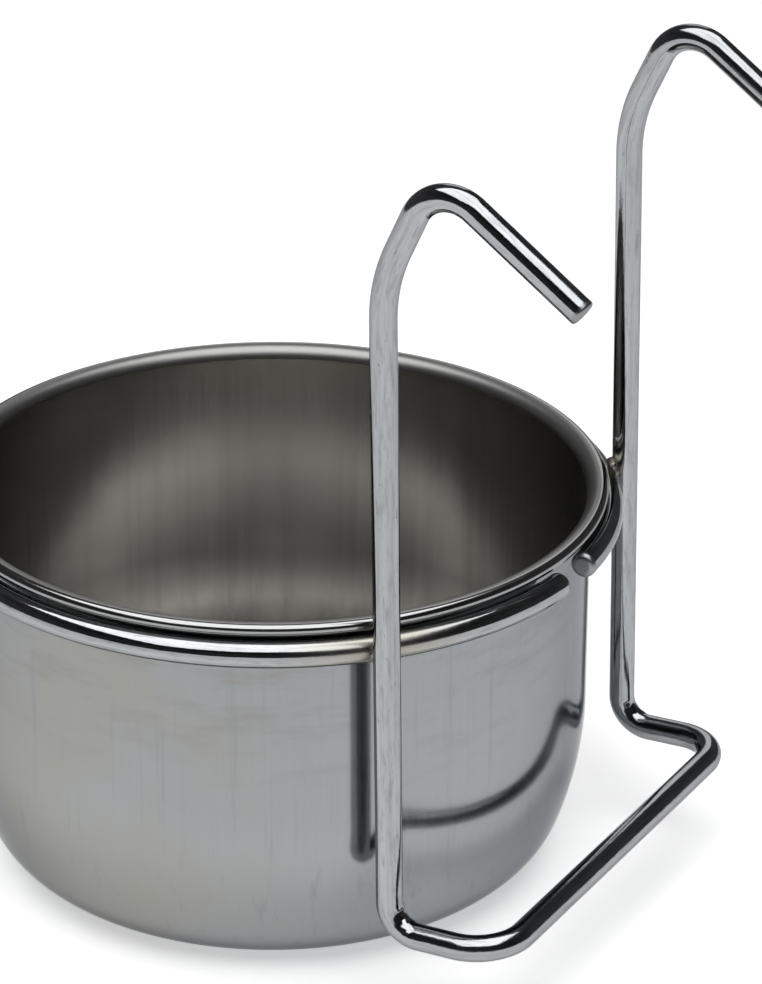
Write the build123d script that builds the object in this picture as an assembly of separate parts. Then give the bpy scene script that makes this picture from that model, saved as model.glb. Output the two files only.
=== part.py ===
from build123d import *
from math import asin, cos, degrees, radians, sin, sqrt, tan
import os

# A feeding cup that hangs on cage bars: a deep-drawn steel cup standing in an open wire ring,
# and a bent wire hanger with two hooks, welded to the ring.
# Millimetres. +Z is up along the cup's axis, +Y points to the bars, and the origin is the
# middle of the cup's base on its underside.

# Cup
cup_diameter = 85.4
cup_height = 54.1
sheet = 0.6
rim_overhang = 2.3
rim_bead = 1.7
rim_bend_radius = 1.8
rim_root_radius = 0.5
rim_rounding_share = 0.9
flank_radius = 48.0
flank_turn = 19.5
heel_radius = 10.0

# Wire and ring
wire = 3.5
wire_end_round = 0.35
ring_clearance = 0.85
ring_end_gap = 5.8
seat_gap = 0.47

# Welds
weld_gap = 0.1
weld_inset = 0.25

# Hanger
leg_angle = 42.1
leg_lean = 1.1
leg_above_ring = 50.95
rise_length = 17.0
rise_angle = 24.4
drop_length = 24.4
drop_angle = 34.2
foot_height = 11.3
bar_gap = 8.6
bar_lift = 0.9
apex_radius = 5.5
shoulder_radius = 22.0
foot_radius = 4.2
corner_radius = 6.5
bend_share = 0.45

# Places that follow from the sizes above
wall_radius = cup_diameter / 2
wire_radius = wire / 2
bead_radius = rim_bead / 2
bead_level = cup_height - bead_radius
bead_circle = wall_radius + rim_overhang - bead_radius
ring_radius = wall_radius + ring_clearance + wire_radius
seat_reach = bead_radius + wire_radius + seat_gap
ring_level = bead_level - sqrt(seat_reach**2 - (ring_radius - bead_circle) ** 2)
leg_reach = ring_radius + wire + weld_gap
leg_x = leg_reach * sin(radians(leg_angle))
leg_y = leg_reach * cos(radians(leg_angle))


def cup_side(inset):
    """Flank arc, heel arc and base line of one skin of the cup's section, set in from the outside."""
    heel_level = heel_radius
    flank_level = heel_level + (flank_radius - heel_radius) * sin(radians(flank_turn))
    flank_x = wall_radius - flank_radius
    heel_x = flank_x + (flank_radius - heel_radius) * cos(radians(flank_turn))
    flank = CenterArc((flank_x, flank_level), flank_radius - inset, 0, -flank_turn)
    heel = CenterArc((heel_x, heel_level), heel_radius - inset, -flank_turn, flank_turn - 90)
    base = Line((heel_x, inset), (0, inset))
    return flank, heel, base


def make_cup():
    """Deep-drawn cup: one sheet with a straight wall, a slow flank, a round heel and a rolled rim."""
    outer_flank, outer_heel, outer_base = cup_side(0)
    inner_flank, inner_heel, inner_base = cup_side(sheet)
    inner_radius = wall_radius - sheet
    under_rim = cup_height - rim_bead
    bend = min(rim_bend_radius, rim_rounding_share * (bead_circle - inner_radius))
    root = min(rim_root_radius, rim_rounding_share * (bead_circle - wall_radius))
    outer_wall = Line((wall_radius, under_rim - root), outer_flank @ 0)
    inner_wall = Line(inner_flank @ 0, (inner_radius, cup_height - bend))
    rim_bend = CenterArc((inner_radius + bend, cup_height - bend), bend, 180, -90)
    rim_top = Line(rim_bend @ 1, (bead_circle, cup_height))
    bead = CenterArc((bead_circle, bead_level), bead_radius, 90, -180)
    rim_under = Line(bead @ 1, (wall_radius + root, under_rim))
    rim_root = CenterArc((wall_radius + root, under_rim - root), root, 90, 90)
    middle = Line(outer_base @ 1, inner_base @ 1)
    outline = Curve() + [
        outer_wall, outer_flank, outer_heel, outer_base, middle, inner_base, inner_heel, inner_flank,
        inner_wall, rim_bend, rim_top, bead, rim_under, rim_root,
    ]
    section = make_face(outline)
    return revolve(Plane.XZ * section, Axis.Z)


def round_wire_ends(piece):
    """Break the sharp edge round both cut ends of a wire."""
    ends = piece.faces().filter_by(GeomType.PLANE)
    edges = [edge for face in ends for edge in face.edges()]
    return fillet(edges, wire_end_round)


def make_ring():
    """Open wire ring, its cut ends facing each other across a gap in the middle of the hanger side."""
    half_gap = degrees(asin(ring_end_gap / 2 / ring_radius))
    section = Plane.XZ * Pos(ring_radius, ring_level) * Circle(wire_radius)
    ring = revolve(section, Axis.Z, 360 - 2 * half_gap)
    return round_wire_ends(Rot(0, 0, 90 + half_gap) * ring)


def leg_y_at(level):
    """Depth of a leg's centre line at a level: the legs lean a little towards the cup at the top."""
    return leg_y - (level - ring_level) * tan(radians(leg_lean))


def hanger_points():
    """Corners of the hanger's centre line on the +X side, from the hook's tip to the stand-off loop."""
    shoulder_level = ring_level + leg_above_ring
    shoulder = Vector(leg_x, leg_y_at(shoulder_level), shoulder_level)
    foot = Vector(leg_x, leg_y_at(foot_height), foot_height)
    rise = Vector(0, sin(radians(rise_angle)), cos(radians(rise_angle)))
    drop = Vector(0, cos(radians(drop_angle)), -sin(radians(drop_angle)))
    apex = shoulder + rise * rise_length
    tip = apex + drop * drop_length
    corner = Vector(leg_x, wall_radius + bar_gap + wire_radius, foot_height + bar_lift)
    return [tip, apex, shoulder, foot, corner]


def bend_radii(points, radii):
    """Radii of the bends at the inner points, each kept within its share of the shorter run beside it."""
    fitted = []
    for before, corner, after, radius in zip(points, points[1:], points[2:], radii):
        run_in = corner - before
        run_out = after - corner
        room = bend_share * min(run_in.length, run_out.length)
        half_turn = radians(run_in.get_angle(run_out) / 2)
        fitted.append(min(radius, room / tan(half_turn)))
    return fitted


def make_hanger():
    """One bent wire: hook, leg, stand-off, cross bar, stand-off, leg and hook."""
    near = hanger_points()
    far = [Vector(-point.X, point.Y, point.Z) for point in reversed(near)]
    points = near + far
    radii = [apex_radius, shoulder_radius, foot_radius, corner_radius]
    path = FilletPolyline(*points, radius=bend_radii(points, radii + radii[::-1]))
    start = Plane(path @ 0, z_dir=path % 0)
    return round_wire_ends(sweep(start * Circle(wire_radius), path))


def make_weld(side, ring, hanger):
    """Weld metal filling the notch where the ring crosses a leg; side is 1 for +X and -1 for -X."""
    outward = Vector(side * leg_x, leg_y, 0).normalized()
    start = outward * ring_radius + Vector(0, 0, ring_level)
    plug = extrude(Plane(start, z_dir=outward) * Circle(wire_radius - weld_inset), leg_reach - ring_radius)
    return (plug - ring - hanger).solids().sort_by(SortBy.VOLUME)[-1]


cup = make_cup()
holder_ring = make_ring()
hanger = make_hanger()
parts = {
    "cup": cup,
    "holder_ring": holder_ring,
    "hanger": hanger,
    "left_weld": make_weld(1, holder_ring, hanger),
    "right_weld": make_weld(-1, holder_ring, hanger),
}

os.makedirs("parts", exist_ok=True)
for name, piece in parts.items():
    export_step(piece, f"parts/{name}.step")
    print(name, "volume", round(piece.volume, 1))
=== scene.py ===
import bmesh
import bpy
from math import acos, asin, ceil, cos, pi, radians, sin, sqrt, tan
from mathutils import Matrix, Quaternion, Vector, noise


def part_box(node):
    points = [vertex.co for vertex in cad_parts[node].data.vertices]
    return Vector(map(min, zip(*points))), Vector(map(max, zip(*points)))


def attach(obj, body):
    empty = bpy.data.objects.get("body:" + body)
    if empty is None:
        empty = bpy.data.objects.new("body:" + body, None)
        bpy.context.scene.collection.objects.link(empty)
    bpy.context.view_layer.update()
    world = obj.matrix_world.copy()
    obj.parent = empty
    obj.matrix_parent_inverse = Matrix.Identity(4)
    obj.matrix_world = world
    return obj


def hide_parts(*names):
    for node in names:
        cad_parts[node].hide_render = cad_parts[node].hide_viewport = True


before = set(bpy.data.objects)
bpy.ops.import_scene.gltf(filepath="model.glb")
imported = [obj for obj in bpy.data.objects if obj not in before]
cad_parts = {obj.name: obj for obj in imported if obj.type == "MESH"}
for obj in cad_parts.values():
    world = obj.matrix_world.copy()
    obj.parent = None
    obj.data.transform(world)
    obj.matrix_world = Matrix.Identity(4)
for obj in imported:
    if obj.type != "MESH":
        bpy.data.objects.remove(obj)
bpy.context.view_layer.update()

# Holder ring
# One length of bright-plated steel wire, bent round a mandrel to an open ring that carries the cup
# under its rim. Its two cut ends face each other across a small gap on the side of the cage bars.
mm = 0.001
ring_low, ring_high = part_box("holder_ring")
wire_radius = (ring_high.z - ring_low.z) / 2
ring_level = (ring_low.z + ring_high.z) / 2
ring_radius = ring_high.x - wire_radius
ring_end_gap = 5.8 * mm
ring_end_round = 0.70 * mm
wire_sides = 40
run_step = 6.0 * mm
bend_step = 0.95 * mm
bend_step_turn = radians(3.5)
end_round_rows = 4
end_flat_margin = 0.12 * mm
metal_edge = (0.55, 0.55, 0.56, 1.0)
plating_dark = (0.292, 0.300, 0.308)
plating_light = (0.368, 0.377, 0.386)
fleck_grey = (0.20, 0.206, 0.213)
heat_straw = (0.320, 0.310, 0.275)
shear_grey = (0.25, 0.253, 0.257)
pit_grey = (0.13, 0.13, 0.135)
heat_full = 3 * mm
heat_end = 14 * mm
heat_edge = 1 * mm
rubbed_full = 14 * mm
rubbed_end = 26 * mm
wire_wave = 0.014 * mm
wire_dimple = 0.009 * mm
wire_scuff = 0.016 * mm
draw_line_depth = 0.0005 * mm
leg_angle = radians(42.1)
weld_place = Vector((ring_radius * sin(leg_angle), ring_radius * cos(leg_angle), ring_level))


def verts_of(parts):
    return [part for part in parts if isinstance(part, bmesh.types.BMVert)]


def edges_of(parts):
    return [part for part in parts if isinstance(part, bmesh.types.BMEdge)]


class Wire:
    """A round wire that is fed on from its first cut end, ring by ring, straight or round a bend.

    Its lay attribute holds the place in the wire's section and the distance along the wire, and its
    sheared attribute marks the cut ends.
    """

    def __init__(self, place, direction):
        self.mesh = bmesh.new()
        self.lay = self.mesh.verts.layers.float_vector.new("lay")
        self.sheared = self.mesh.verts.layers.float.new("sheared")
        bmesh.ops.create_circle(self.mesh, segments=wire_sides, radius=wire_radius)
        for vert in self.mesh.verts:
            vert[self.lay] = vert.co
        self.place = Matrix.Translation(place) @ direction.to_track_quat("Z", "Y").to_matrix().to_4x4()
        bmesh.ops.transform(self.mesh, matrix=self.place, verts=self.mesh.verts)
        self.first = list(self.mesh.edges)
        self.front = list(self.mesh.edges)

    def feed(self, move, length):
        """Pull the front ring on by one move, which is a rigid step of that length."""
        pulled = bmesh.ops.extrude_edge_only(self.mesh, edges=self.front)["geom"]
        ring = verts_of(pulled)
        self.front = edges_of(pulled)
        bmesh.ops.transform(self.mesh, matrix=move, verts=ring)
        for vert in ring:
            vert[self.lay] += Vector((0, 0, length))
        return ring

    def run(self, way):
        """Feed the wire straight on along a way."""
        steps = ceil(way.length / run_step)
        for _ in range(steps):
            self.feed(Matrix.Translation(way / steps), way.length / steps)

    def bend(self, centre, axis, turn, radius):
        """Feed the wire round a centre by a turn, and give back its rings with their share of the turn."""
        steps = ceil(turn / min(bend_step_turn, bend_step / radius))
        to_centre = Matrix.Translation(centre)
        move = to_centre @ Matrix.Rotation(turn / steps, 4, axis) @ to_centre.inverted()
        return [(self.feed(move, turn * radius / steps), (step + 1) / steps) for step in range(steps)]

    def cut(self, end_round):
        """Close both ends with a flat cut, its edge broken by the shear."""
        for rim in (self.first, self.front):
            bmesh.ops.contextual_create(self.mesh, geom=rim)
            cut = bmesh.ops.bevel(
                self.mesh, geom=rim, offset=end_round, offset_type="OFFSET",
                segments=end_round_rows, profile=0.5, affect="EDGES", material=-1,
            )
            flat = max(cut["faces"][0].verts[0].link_faces, key=lambda face: len(face.verts))
            for vert in cut["verts"]:
                vert[self.sheared] = 1.0
                flat = max([flat, *vert.link_faces], key=lambda face: len(face.verts))
            bmesh.ops.inset_region(self.mesh, faces=[flat], thickness=end_flat_margin)


def piece_of(mesh, name, material):
    """Turn a finished bmesh into a smooth-shaded piece with its material."""
    bmesh.ops.recalc_face_normals(mesh, faces=mesh.faces)
    data = bpy.data.meshes.new(name)
    mesh.to_mesh(data)
    mesh.free()
    data.shade_smooth()
    data.materials.append(material)
    piece = bpy.data.objects.new(name, data)
    bpy.context.scene.collection.objects.link(piece)
    return piece


class Finish:
    """A material built node by node round one Principled shader."""

    def __init__(self, name):
        self.material = bpy.data.materials.new(name)
        self.material.use_nodes = True
        self.tree = self.material.node_tree
        self.shader = self.tree.nodes["Principled BSDF"]

    def node(self, kind, **settings):
        made = self.tree.nodes.new(kind)
        for key, value in settings.items():
            setattr(made, key, value)
        return made

    def link(self, source, target):
        self.tree.links.new(source, target)

    def set(self, socket, value):
        """Set one of the shader's own sockets to a value that is the same all over."""
        self.shader.inputs[socket].default_value = value

    def stretched(self, source, scale):
        """The source's coordinates, multiplied along each axis."""
        mapping = self.node("ShaderNodeMapping")
        mapping.inputs["Scale"].default_value = scale
        self.link(source, mapping.inputs["Vector"])
        return mapping.outputs["Vector"]

    def grain(self, source, scale, detail=2.0, rough=0.5):
        """Noise over a source, with its scale in grains per metre along each axis."""
        grain = self.node("ShaderNodeTexNoise")
        grain.inputs["Scale"].default_value = 1.0
        grain.inputs["Detail"].default_value = detail
        grain.inputs["Roughness"].default_value = rough
        self.link(self.stretched(source, scale), grain.inputs["Vector"])
        return grain.outputs["Fac"]

    def between(self, value, low, high, to_low=0.0, to_high=1.0):
        """A value spread from one range to another and held at its ends."""
        spread = self.node("ShaderNodeMapRange")
        self.link(value, spread.inputs["Value"])
        spread.inputs["From Min"].default_value = low
        spread.inputs["From Max"].default_value = high
        spread.inputs["To Min"].default_value = to_low
        spread.inputs["To Max"].default_value = to_high
        return spread.outputs["Result"]

    def maths(self, kind, first, second):
        """One step of arithmetic on two values, each a number or a socket."""
        made = self.node("ShaderNodeMath", operation=kind)
        for socket, value in zip(made.inputs, (first, second)):
            if isinstance(value, (int, float)):
                socket.default_value = value
            else:
                self.link(value, socket)
        return made.outputs["Value"]

    def add(self, first, second):
        return self.maths("ADD", first, second)

    def times(self, first, second):
        return self.maths("MULTIPLY", first, second)

    def tint(self, share, low, high):
        """A colour between two, by a share; either may be another tint."""
        mix = self.node("ShaderNodeMix", data_type="RGBA")
        self.link(share, mix.inputs["Factor"])
        for socket, colour in ((mix.inputs[6], low), (mix.inputs[7], high)):
            if isinstance(colour, tuple):
                socket.default_value = (*colour, 1.0)
            else:
                self.link(colour, socket)
        return mix.outputs[2]

    def raised(self, height, depth, under=None):
        """A bump of a depth in metres, laid over another bump."""
        bump = self.node("ShaderNodeBump")
        bump.inputs["Strength"].default_value = 1.0
        bump.inputs["Distance"].default_value = depth
        self.link(height, bump.inputs["Height"])
        if under:
            self.link(under, bump.inputs["Normal"])
        return bump.outputs["Normal"]


def bright_wire_finish():
    """Bright plating over drawn wire: lines, flecks and pits, scuffs low down and heat round the welds."""
    finish = Finish("bright_wire")
    lay = finish.node("ShaderNodeAttribute", attribute_name="lay").outputs["Vector"]
    axes = finish.node("ShaderNodeSeparateXYZ")
    finish.link(finish.node("ShaderNodeTexCoord").outputs["Object"], axes.inputs["Vector"])
    mirrored = finish.node("ShaderNodeCombineXYZ")
    finish.link(finish.maths("ABSOLUTE", axes.outputs["X"], 0), mirrored.inputs["X"])
    finish.link(axes.outputs["Y"], mirrored.inputs["Y"])
    finish.link(axes.outputs["Z"], mirrored.inputs["Z"])
    to_weld = finish.node("ShaderNodeVectorMath", operation="DISTANCE")
    finish.link(mirrored.outputs["Vector"], to_weld.inputs[0])
    to_weld.inputs[1].default_value = weld_place
    out = finish.node("ShaderNodeCombineXYZ")
    finish.link(axes.outputs["X"], out.inputs["X"])
    finish.link(axes.outputs["Y"], out.inputs["Y"])
    reach = finish.node("ShaderNodeVectorMath", operation="LENGTH")
    finish.link(out.outputs["Vector"], reach.inputs[0])
    ring_edge = ring_radius + wire_radius
    on_ring = finish.between(reach.outputs["Value"], ring_edge, ring_edge + heat_edge, 1, 0)
    heat = finish.between(to_weld.outputs["Value"], heat_full, heat_end, 1, 0)
    heat = finish.times(heat, on_ring)
    rubbed = finish.between(axes.outputs["Z"], rubbed_full, rubbed_end, 1, 0)
    sheared = finish.node("ShaderNodeAttribute", attribute_name="sheared").outputs["Fac"]
    draw_lines = finish.grain(lay, (5000, 5000, 45), 3.0, 0.6)
    streaks = finish.grain(lay, (1050, 1050, 22), 2.0, 0.6)
    flecks = finish.between(finish.grain(lay, (1700, 1700, 230), 4.0, 0.7), 0.49, 0.70, 0, 0.75)
    waves = finish.grain(lay, (260, 260, 150), 1.0)
    dimples = finish.grain(lay, (1500, 1500, 1200), 2.0)
    scuffs = finish.times(finish.grain(lay, (2800, 2800, 1500), 3.0), rubbed)
    pits = finish.between(finish.grain(lay, (1900, 1900, 420), 3.0), 0.69, 0.79)
    dull = finish.between(finish.grain(lay, (420, 420, 90), 3.0), 0.42, 0.68)
    line_share = finish.between(finish.add(draw_lines, finish.times(streaks, 2.0)), 1.1, 1.9)
    plating = finish.tint(line_share, plating_dark, plating_light)
    for share, colour in ((flecks, fleck_grey), (heat, heat_straw), (sheared, shear_grey), (pits, pit_grey)):
        plating = finish.tint(share, plating, colour)
    finish.link(plating, finish.shader.inputs["Base Color"])
    rough = finish.between(dull, 0, 1, 0.07, 0.15)
    for share, more in ((pits, 0.35), (heat, 0.17), (sheared, 0.24), (rubbed, 0.03)):
        rough = finish.add(rough, finish.between(share, 0, 1, 0, more))
    finish.link(rough, finish.shader.inputs["Roughness"])
    relief = finish.raised(waves, wire_wave)
    relief = finish.raised(dimples, wire_dimple, relief)
    relief = finish.raised(scuffs, wire_scuff, relief)
    relief = finish.raised(draw_lines, draw_line_depth, relief)
    finish.link(relief, finish.shader.inputs["Normal"])
    finish.set("Metallic", 1.0)
    finish.set("Specular Tint", metal_edge)
    return finish.material


bright_wire = bright_wire_finish()
half_gap = asin(ring_end_gap / 2 / ring_radius)
ring_start = Vector((-ring_radius * sin(half_gap), ring_radius * cos(half_gap), ring_level))
ring_heading = Vector((-cos(half_gap), -sin(half_gap), 0))
ring_wire = Wire(ring_start, ring_heading)
ring_wire.bend(Vector((0, 0, ring_level)), Vector((0, 0, 1)), 2 * pi - 2 * half_gap, ring_radius)
ring_wire.cut(ring_end_round)
holder_ring = piece_of(ring_wire.mesh, "wire_ring", bright_wire)
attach(holder_ring, "holder")
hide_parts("holder_ring")

# Hanger
# One length of the same wire, bent to a hook, a leg and a stand-off loop and back again the same way.
# The hooks go over a cage bar and the loop keeps the cup clear of the bars below.
hanger_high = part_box("hanger")[1]
weld_gap = 0.1 * mm
leg_lean = radians(1.1)
leg_above_ring = 50.95 * mm
rise_length = 17.0 * mm
rise_angle = radians(24.4)
drop_length = 24.4 * mm
drop_angle = radians(34.2)
foot_height = 11.3 * mm
bar_lift = 0.9 * mm
standoff_reach = 53.05 * mm
apex_radius = 5.5 * mm
shoulder_radius = 22.0 * mm
foot_radius = 4.2 * mm
corner_radius = 6.5 * mm
hook_end_round = 0.40 * mm
end_step = 1.0 * mm
crease_radius = 5.0 * mm
crease_depth = 0.16 * mm
crease_size = 0.75 * mm
leg_x = hanger_high.x - wire_radius
leg_reach = ring_radius + 2 * wire_radius + weld_gap
leg_y = sqrt(leg_reach**2 - leg_x**2)


def leg_y_at(level):
    return leg_y - (level - ring_level) * tan(leg_lean)


def hanger_corners():
    """The corners of the wire's centre line, from one hook's tip round the loop to the other's."""
    shoulder_level = ring_level + leg_above_ring
    shoulder = Vector((leg_x, leg_y_at(shoulder_level), shoulder_level))
    foot = Vector((leg_x, leg_y_at(foot_height), foot_height))
    apex = shoulder + rise_length * Vector((0, sin(rise_angle), cos(rise_angle)))
    tip = apex + drop_length * Vector((0, cos(drop_angle), -sin(drop_angle)))
    corner = Vector((leg_x, standoff_reach, foot_height + bar_lift))
    near = [tip, apex, shoulder, foot, corner]
    return near + [Vector((-point.x, point.y, point.z)) for point in reversed(near)]


def crease(rings, centre, axis, radius):
    """Pinch the inside of a tight bend, where the bending pin crumples the wire's skin."""
    for ring, share in rings:
        for vert in ring:
            spoke = vert.co - centre
            spoke -= axis * axis.dot(spoke)
            inward = max(0, radius - spoke.length) / wire_radius
            pinch = crease_depth * inward * sin(pi * share) ** 0.5
            vert.co += spoke.normalized() * pinch * noise.noise(vert.co / crease_size)


def bent_wire(corners, radii):
    """A wire fed from corner to corner and bent at each inner one, with the tight bends creased."""
    bent = Wire(corners[0], corners[1] - corners[0])
    first_end = (corners[1] - corners[0]).normalized() * end_step
    last_end = (corners[-1] - corners[-2]).normalized() * end_step
    bent.run(first_end)
    end = corners[0] + first_end
    tight = []
    for before, corner, after, radius in zip(corners, corners[1:], corners[2:], radii):
        way_in = (corner - before).normalized()
        way_out = (after - corner).normalized()
        turn = acos(way_in.dot(way_out))
        bend_start = corner - way_in * radius * tan(turn / 2)
        axis = way_in.cross(way_out).normalized()
        bent.run(bend_start - end)
        centre = bend_start + axis.cross(way_in) * radius
        rings = bent.bend(centre, axis, turn, radius)
        if radius < crease_radius:
            tight.append((rings, centre, axis, radius))
        end = corner + way_out * radius * tan(turn / 2)
    bent.run(corners[-1] - last_end - end)
    bent.run(last_end)
    for bend in tight:
        crease(*bend)
    return bent


half_radii = [apex_radius, shoulder_radius, foot_radius, corner_radius]
hanger_wire = bent_wire(hanger_corners(), half_radii + half_radii[::-1])
hanger_wire.cut(hook_end_round)
hanger = piece_of(hanger_wire.mesh, "wire_hanger", bright_wire)
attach(hanger, "holder")
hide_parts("hanger")

# Welds
# Where the ring crosses each leg the two wires are pressed together and welded by current. The metal
# that is squeezed out freezes as a small uneven collar round the contact.
weld_across = 1.72 * mm
weld_depth = 1.10 * mm
weld_lump = 0.14 * mm
lump_size = 0.7 * mm
weld_sides = 48
weld_rows = 24
weld_grey = (0.24, 0.232, 0.215)
weld_brown = (0.13, 0.112, 0.09)
weld_pit = (0.03, 0.028, 0.026)
weld_scale_depth = 0.012 * mm


def weld_finish():
    """Weld metal: duller than the plating, a little brown from the heat, and pitted."""
    finish = Finish("weld_metal")
    place = finish.node("ShaderNodeTexCoord").outputs["Object"]
    scale = finish.between(finish.grain(place, (2600, 2600, 2600), 3.0), 0.4, 0.65)
    pits = finish.between(finish.grain(place, (1500, 1500, 1500), 1.0), 0.62, 0.68)
    metal = finish.tint(scale, weld_grey, weld_brown)
    finish.link(finish.tint(pits, metal, weld_pit), finish.shader.inputs["Base Color"])
    finish.link(finish.between(scale, 0, 1, 0.42, 0.60), finish.shader.inputs["Roughness"])
    finish.link(finish.raised(scale, weld_scale_depth), finish.shader.inputs["Normal"])
    finish.set("Metallic", 1.0)
    return finish.material


weld_metal = weld_finish()
for side, name in ((1, "left_weld"), (-1, "right_weld")):
    outward = Vector((side * leg_x, leg_y, 0)).normalized()
    middle = outward * (ring_radius + leg_reach) / 2 + Vector((0, 0, ring_level))
    facing = outward.to_track_quat("Z", "Y").to_matrix().to_4x4()
    weld = bmesh.new()
    bmesh.ops.create_uvsphere(weld, u_segments=weld_sides, v_segments=weld_rows, radius=1.0)
    bmesh.ops.scale(weld, vec=(weld_across, weld_across, weld_depth), verts=weld.verts)
    bmesh.ops.transform(weld, matrix=Matrix.Translation(middle) @ facing, verts=weld.verts)
    for vert in weld.verts:
        vert.co += (vert.co - middle).normalized() * weld_lump * noise.noise(vert.co / lump_size)
    collar = piece_of(weld, name + "_collar", weld_metal)
    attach(collar, "holder")
    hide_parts(name)

# Cup
# One disc of stainless sheet, deep drawn to a straight wall with a slow flank and a round heel. The
# edge is turned out and rolled to a bead, which rests on the ring, and the whole is satin polished.
cup_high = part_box("cup")[1]
cup_height = cup_high.z
rim_overhang = 2.3 * mm
wall_radius = cup_high.x - rim_overhang
sheet = 0.6 * mm
bead_radius = 0.85 * mm
rim_bend_radius = 1.8 * mm
rim_root_radius = 0.5 * mm
flank_radius = 48.0 * mm
flank_turn = radians(19.5)
heel_radius = 10.0 * mm
cup_steps = 224
wall_rows = 24
flank_rows = 16
heel_rows = 28
base_rows = 16
root_rows = 6
bead_rows = 20
rim_bend_rows = 12
merge_distance = 0.001 * mm
rim_top_inside = 0.4
steel_dark = (0.262, 0.277, 0.288)
steel_light = (0.274, 0.290, 0.301)
handled_warm = (0.272, 0.270, 0.252)
stroke_grey = (0.226, 0.233, 0.237)
smear_grey = (0.236, 0.235, 0.227)
# painted sheen: the rim bead's steel is lighter than the wall's, so that its highlights stay near white
painted_rim_sheen = (0.305, 0.308, 0.308)
# painted light: the inside steel is far lighter than the outside steel, lifting the shade inside the cup;
# its bands and streaks are drawn marks
inside_dark = (0.56, 0.55, 0.525)
inside_light = (0.61, 0.60, 0.575)
inside_streak = (0.47, 0.455, 0.425)
# painted reflection: the upper inside is darker and warmer, as if it reflected feed in the cup
painted_feed_reflection = (0.40, 0.39, 0.365)
painted_feed_reflection_share = 0.6
# painted shade: the inner lip of the rim is darkened
painted_lip_shade = (0.27, 0.27, 0.266)
bottom_grey = (0.31, 0.307, 0.30)
handled_start = 27 * mm
handled_full = 40 * mm
upper_start = 24 * mm
upper_full = 42 * mm
bottom_full = 0.8 * mm
bottom_end = 4 * mm
cup_wave = 0.020 * mm
turned_depth = 0.009 * mm
orange_peel_depth = 0.0015 * mm
cup_line_depth = 0.00025 * mm
under_rim = cup_height - 2 * bead_radius


class Section:
    """Half of a spun piece's section, drawn in the XZ plane from the axis round to the axis again."""

    def __init__(self, x, z):
        self.mesh = bmesh.new()
        self.inside = self.mesh.verts.layers.float.new("inside")
        self.lip = self.mesh.verts.layers.float.new("lip")
        self.end = self.mesh.verts.new((x, 0, z))

    def line(self, x, z, rows=1):
        way = (Vector((x, 0, z)) - self.end.co) / rows
        for _ in range(rows):
            grown = bmesh.ops.extrude_vert_indiv(self.mesh, verts=[self.end])
            self.end = grown["verts"][0]
            self.end.co += way

    def arc(self, x, z, turn, rows):
        spun = bmesh.ops.spin(
            self.mesh, geom=[self.end], cent=(x, 0, z), axis=(0, 1, 0), angle=turn, steps=rows
        )
        self.end = verts_of(spun["geom_last"])[0]


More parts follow.
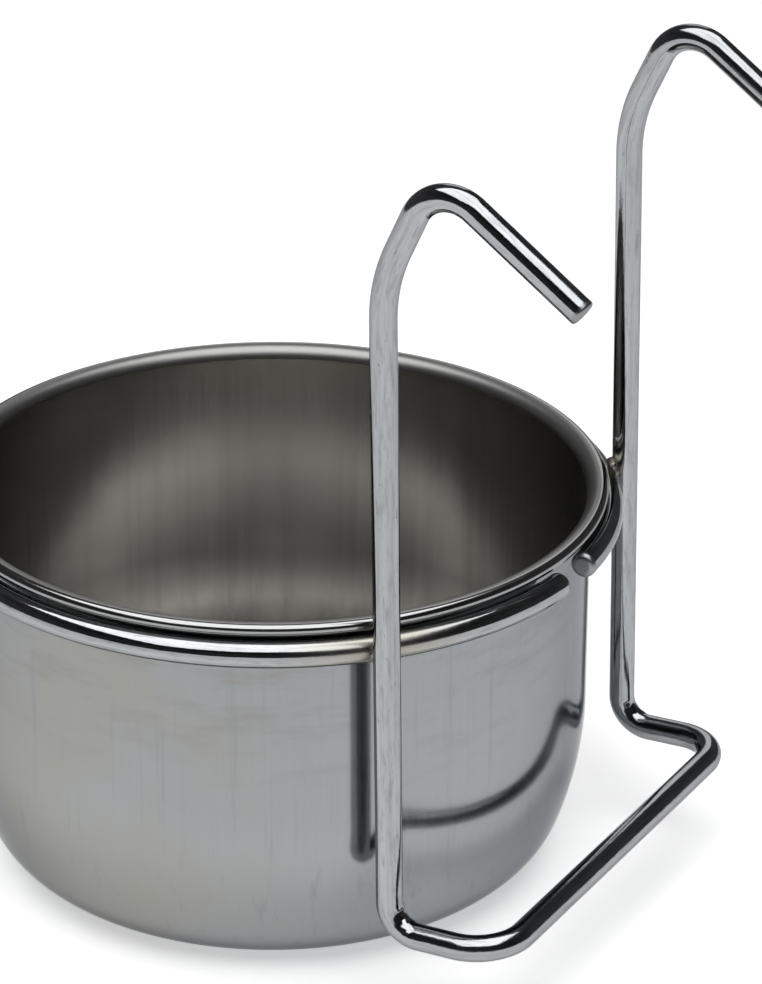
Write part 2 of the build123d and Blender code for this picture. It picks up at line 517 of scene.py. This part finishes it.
def cup_finish():
    """Satin-polished stainless, lined upright and smeared by hands; the inside duller and streaked, with
    painted light.
    """
    finish = Finish("cup_steel")
    place = finish.node("ShaderNodeTexCoord").outputs["Object"]
    inside = finish.node("ShaderNodeAttribute", attribute_name="inside").outputs["Fac"]
    lip = finish.node("ShaderNodeAttribute", attribute_name="lip").outputs["Fac"]
    axes = finish.node("ShaderNodeSeparateXYZ")
    finish.link(place, axes.inputs["Vector"])
    flat = finish.node("ShaderNodeVectorMath", operation="MULTIPLY")
    finish.link(place, flat.inputs[0])
    flat.inputs[1].default_value = (1, 1, 0)
    radius = finish.node("ShaderNodeVectorMath", operation="LENGTH")
    finish.link(flat.outputs["Vector"], radius.inputs[0])
    bottom = finish.between(axes.outputs["Z"], bottom_full, bottom_end, 1, 0)
    turned = finish.grain(radius.outputs["Value"], (2600, 1, 1), 4.0, 0.7)
    turned = finish.times(finish.maths("SUBTRACT", turned, 0.5), bottom)
    streaks = finish.between(finish.grain(place, (330, 330, 7), 4.0, 0.65), 0.45, 0.68)
    bands = finish.between(finish.grain(axes.outputs["Z"], (240, 1, 1), 2.0), 0.35, 0.65)
    lines = finish.grain(place, (1900, 1900, 40), 4.0, 0.6)
    strokes = finish.between(finish.grain(place, (650, 650, 24), 4.0, 0.65), 0.57, 0.76)
    handled = finish.between(finish.grain(place, (24, 24, 30), 4.0, 0.6), 0.36, 0.56)
    handled = finish.times(handled, finish.between(axes.outputs["X"], handled_start, handled_full))
    upper = finish.between(axes.outputs["Z"], upper_start, upper_full)
    smears = finish.between(finish.grain(place, (70, 70, 330), 4.0, 0.65), 0.48, 0.72)
    smears = finish.times(smears, upper)
    waves = finish.grain(place, (70, 70, 60), 1.0)
    orange_peel = finish.grain(place, (700, 700, 500), 2.0)
    # the rim bead, where the painted sheen goes
    rim = finish.between(axes.outputs["Z"], under_rim - rim_root_radius, under_rim)
    steel = finish.tint(finish.between(lines, 0.3, 0.7), steel_dark, steel_light)
    marks = ((handled, handled_warm), (strokes, stroke_grey), (smears, smear_grey), (rim, painted_rim_sheen))
    for share, colour in marks:
        steel = finish.tint(share, steel, colour)
    # inside colour: drawn bands and streaks on steel lightened by painted light, then a painted reflection
    # and painted shade laid over it
    inside_with_painted_light = finish.tint(bands, inside_dark, inside_light)
    inside_with_painted_light = finish.tint(streaks, inside_with_painted_light, inside_streak)
    # painted reflection of feed on the upper inside
    inside_with_painted_light = finish.tint(finish.times(upper, painted_feed_reflection_share), inside_with_painted_light, painted_feed_reflection)
    # painted shade on the inner lip
    inside_with_painted_light = finish.tint(lip, inside_with_painted_light, painted_lip_shade)
    inside_with_painted_light = finish.tint(bottom, inside_with_painted_light, bottom_grey)
    finish.link(finish.tint(inside, steel, inside_with_painted_light), finish.shader.inputs["Base Color"])
    rough = finish.between(lines, 0.3, 0.7, 0.12, 0.15)
    for share, more in ((handled, 0.03), (inside, 0.09), (lip, 0.18), (bottom, 0.08)):
        rough = finish.add(rough, finish.between(share, 0, 1, 0, more))
    finish.link(rough, finish.shader.inputs["Roughness"])
    relief = finish.raised(waves, cup_wave)
    relief = finish.raised(turned, turned_depth, relief)
    relief = finish.raised(orange_peel, orange_peel_depth, relief)
    relief = finish.raised(lines, cup_line_depth, relief)
    finish.link(relief, finish.shader.inputs["Normal"])
    finish.set("Metallic", 1.0)
    finish.set("Specular Tint", metal_edge)
    return finish.material


inner_radius = wall_radius - sheet
bead_circle = cup_high.x - bead_radius
flank_level = heel_radius + (flank_radius - heel_radius) * sin(flank_turn)
flank_x = wall_radius - flank_radius
heel_x = flank_x + (flank_radius - heel_radius) * cos(flank_turn)
heel_turn = pi / 2 - flank_turn
section = Section(0, 0)
section.line(heel_x, 0, base_rows)
section.arc(heel_x, heel_radius, -heel_turn, heel_rows)
section.arc(flank_x, flank_level, -flank_turn, flank_rows)
section.line(wall_radius, under_rim - rim_root_radius, wall_rows)
section.arc(wall_radius + rim_root_radius, under_rim - rim_root_radius, pi / 2, root_rows)
section.line(bead_circle, under_rim)
section.arc(bead_circle, cup_height - bead_radius, -pi, bead_rows)
section.end[section.inside] = rim_top_inside
section.line(inner_radius + rim_bend_radius, cup_height)
section.end[section.inside] = 1.0
section.end[section.lip] = 1.0
section.arc(inner_radius + rim_bend_radius, cup_height - rim_bend_radius, -pi / 2, rim_bend_rows)
section.end[section.lip] = 0.0
section.line(inner_radius, flank_level, wall_rows)
section.arc(flank_x, flank_level, flank_turn, flank_rows)
section.arc(heel_x, heel_radius, heel_turn, heel_rows)
section.line(0, sheet, base_rows)
cup_mesh = section.mesh
bmesh.ops.spin(
    cup_mesh, geom=[*cup_mesh.verts, *cup_mesh.edges], cent=(0, 0, 0), axis=(0, 0, 1), angle=2 * pi,
    steps=cup_steps, use_merge=True,
)
bmesh.ops.remove_doubles(cup_mesh, verts=cup_mesh.verts, dist=merge_distance)
cup = piece_of(cup_mesh, "drawn_cup", cup_finish())
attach(cup, "cup")
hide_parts("cup")

# Studio
# A pale paper floor under a wide overhead softbox, with a panel behind, in a dim room that is darkest
# on the camera's side. The camera stands where the photograph's did.
room_radius = 1.6
room_height = 1.35
room_sides = 96
floor_drop = 0.2 * mm
paper_low = (0.90, 0.90, 0.905)
paper_high = (0.92, 0.92, 0.925)
paper_near_glow = 0.16
paper_glow = 0.30
paper_far_glow = 0.82
near_glow_start = 0.06
near_glow_end = 0.13
far_glow_start = 0.4
far_glow_end = room_radius * 0.9
paper_roughness = 0.9
room_grey = (0.30, 0.30, 0.305)
room_dark = (0.05, 0.05, 0.052)
room_dark_from = room_radius * 0.5
surround = (1.0, 1.0, 1.0, 1.0)
softbox_height = 1.05
softbox_strength = 2.75
softbox_far = radians(68)
softbox_near = radians(46)
softbox_left = 0.80
softbox_right = 0.60
panel_turn = radians(6)
panel_distance = 1.45
panel_low = 0.30
panel_high = 1.15
panel_width = 0.60
panel_strength = 1.1
camera_azimuth = radians(121.162)
camera_elevation = radians(26.984)
camera_distance = 0.611323
camera_target = Vector((0, 0, 0.03355))
camera_yaw = radians(1.93)
camera_pitch = radians(1.503)
camera_roll = radians(-0.29)
image_height = 984
focal_pixels = 4487.766
sensor = 36.0
shift_pixels = -43.862
lens_near = 0.05

towards_camera = Vector((sin(camera_azimuth), -cos(camera_azimuth), 0))
floor_mesh = bmesh.new()
bmesh.ops.create_circle(floor_mesh, cap_ends=True, segments=room_sides, radius=room_radius)
bmesh.ops.translate(floor_mesh, vec=(0, 0, -floor_drop), verts=floor_mesh.verts)
paper = Finish("floor_paper")
paper_place = paper.node("ShaderNodeTexCoord").outputs["Object"]
fibre = paper.between(paper.grain(paper_place, (900, 900, 900), 3.0), 0.3, 0.7)
paper.link(paper.tint(fibre, paper_low, paper_high), paper.shader.inputs["Base Color"])
paper.set("Roughness", paper_roughness)
paper.set("Emission Color", (1.0, 1.0, 1.0, 1.0))
rays = paper.node("ShaderNodeLightPath").outputs
seen = paper.add(rays["Is Camera Ray"], rays["Is Glossy Ray"])
seen = paper.add(seen, rays["Is Transmission Ray"])
from_middle = paper.node("ShaderNodeVectorMath", operation="LENGTH")
paper.link(paper_place, from_middle.inputs[0])
away = from_middle.outputs["Value"]
glow = paper.between(away, far_glow_start, far_glow_end, paper_glow, paper_far_glow)
glow = paper.add(glow, paper.between(away, near_glow_start, near_glow_end, paper_near_glow, 0))
paper.link(paper.times(seen, glow), paper.shader.inputs["Emission Strength"])
floor = piece_of(floor_mesh, "floor", paper.material)

room_mesh = bmesh.new()
bmesh.ops.create_circle(room_mesh, cap_ends=True, segments=room_sides, radius=room_radius)
roof_rim = [edge for edge in room_mesh.edges if edge.is_boundary]
bmesh.ops.translate(room_mesh, vec=(0, 0, room_height), verts=room_mesh.verts)
walls = bmesh.ops.extrude_edge_only(room_mesh, edges=roof_rim)["geom"]
bmesh.ops.translate(room_mesh, vec=(0, 0, -room_height), verts=verts_of(walls))
cloth = Finish("room_cloth")
cloth_place = cloth.node("ShaderNodeTexCoord").outputs["Object"]
nearness = cloth.node("ShaderNodeVectorMath", operation="DOT_PRODUCT")
nearness.inputs[1].default_value = towards_camera
cloth.link(cloth_place, nearness.inputs[0])
shade = cloth.between(nearness.outputs["Value"], -room_radius, room_dark_from)
cloth.link(cloth.tint(shade, room_grey, room_dark), cloth.shader.inputs["Base Color"])
cloth.set("Roughness", 1.0)
room = piece_of(room_mesh, "dim_room", cloth.material)
room.visible_camera = False

softbox_drop = softbox_height - camera_target.z
far_edge = -softbox_drop / tan(softbox_far)
near_edge = softbox_drop / tan(softbox_near)
to_the_right = Vector((cos(camera_azimuth), sin(camera_azimuth), 0))


def hang_lamp(name, width, height, strength, middle, facing, upright):
    """An area lamp of an even brightness, facing along one direction with its height along another."""
    light = bpy.data.lights.new(name, "AREA")
    light.shape = "RECTANGLE"
    light.size = width
    light.size_y = height
    light.energy = strength * pi * width * height
    lamp = bpy.data.objects.new(name, light)
    turn = Matrix((upright.cross(-facing), upright, -facing)).transposed()
    lamp.matrix_world = Matrix.Translation(middle) @ turn.to_4x4()
    bpy.context.scene.collection.objects.link(lamp)


up = Vector((0, 0, 1))
softbox_middle = towards_camera * (near_edge + far_edge) / 2 + up * softbox_height
softbox_middle += to_the_right * (softbox_right - softbox_left) / 2
hang_lamp(
    "softbox", softbox_left + softbox_right, near_edge - far_edge, softbox_strength, softbox_middle, -up,
    -towards_camera,
)
panel_way = -towards_camera * cos(panel_turn) + to_the_right * sin(panel_turn)
panel_middle = panel_way * panel_distance + up * (panel_low + panel_high) / 2
hang_lamp("panel", panel_width, panel_high - panel_low, panel_strength, panel_middle, -panel_way, up)

world = bpy.data.worlds.new("surround")
world.use_nodes = True
world.node_tree.nodes["Background"].inputs["Color"].default_value = surround
bpy.context.scene.world = world
bpy.context.scene.view_settings.view_transform = "Standard"

backwards = towards_camera * cos(camera_elevation) + up * sin(camera_elevation)
aim = (-backwards).to_track_quat("-Z", "Y")
aim = aim @ Quaternion((0, 1, 0), -camera_yaw) @ Quaternion((1, 0, 0), camera_pitch)
aim = aim @ Quaternion((0, 0, 1), camera_roll)
lens = bpy.data.cameras.new("camera")
lens.sensor_width = sensor
lens.lens = focal_pixels * sensor / image_height
lens.shift_x = shift_pixels / image_height
lens.clip_start = lens_near
camera = bpy.data.objects.new("camera", lens)
camera.matrix_world = Matrix.LocRotScale(camera_target + backwards * camera_distance, aim, None)
bpy.context.scene.collection.objects.link(camera)
bpy.context.scene.camera = camera
